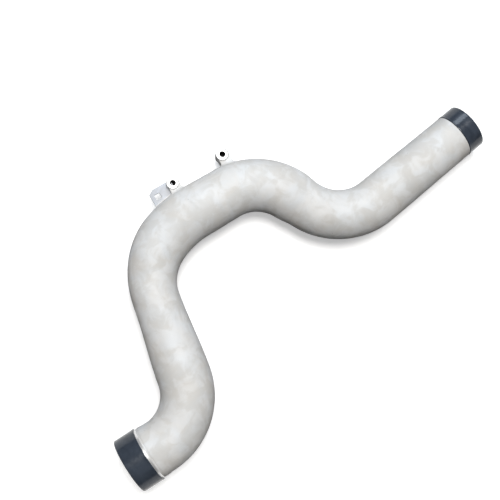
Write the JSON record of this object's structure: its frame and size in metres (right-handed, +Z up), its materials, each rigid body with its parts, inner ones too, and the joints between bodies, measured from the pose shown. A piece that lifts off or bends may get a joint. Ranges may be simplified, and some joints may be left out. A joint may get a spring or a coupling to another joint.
{
  "type": "intercooler pipe",
  "caption": "Cast aluminium charge air pipe that bends four ways between two hose spigots, with tapped mounting lugs, a clip tab and a push-on cap over each mouth.",
  "frame": {"origin": "centre of the bounding box's underside, on the surface that the pipe rests on", "axes": "+X along the straight upper leg and out of its mouth, +Z up from the surface that the pipe rests on, +Y towards the mounting lugs"},
  "size_m": [0.8114, 0.3779, 0.1008],
  "materials": {
    "cast_aluminium": "matte, blasted sand-cast skin with bare machined lug faces",
    "cap_plastic": "smooth, glossy dark blue-grey moulding"
  },
  "bodies": {
    "root": {"pipe_casting": "cast_aluminium", "lower_end_cap": "cap_plastic", "upper_end_cap": "cap_plastic"}
  },
  "joints": []
}
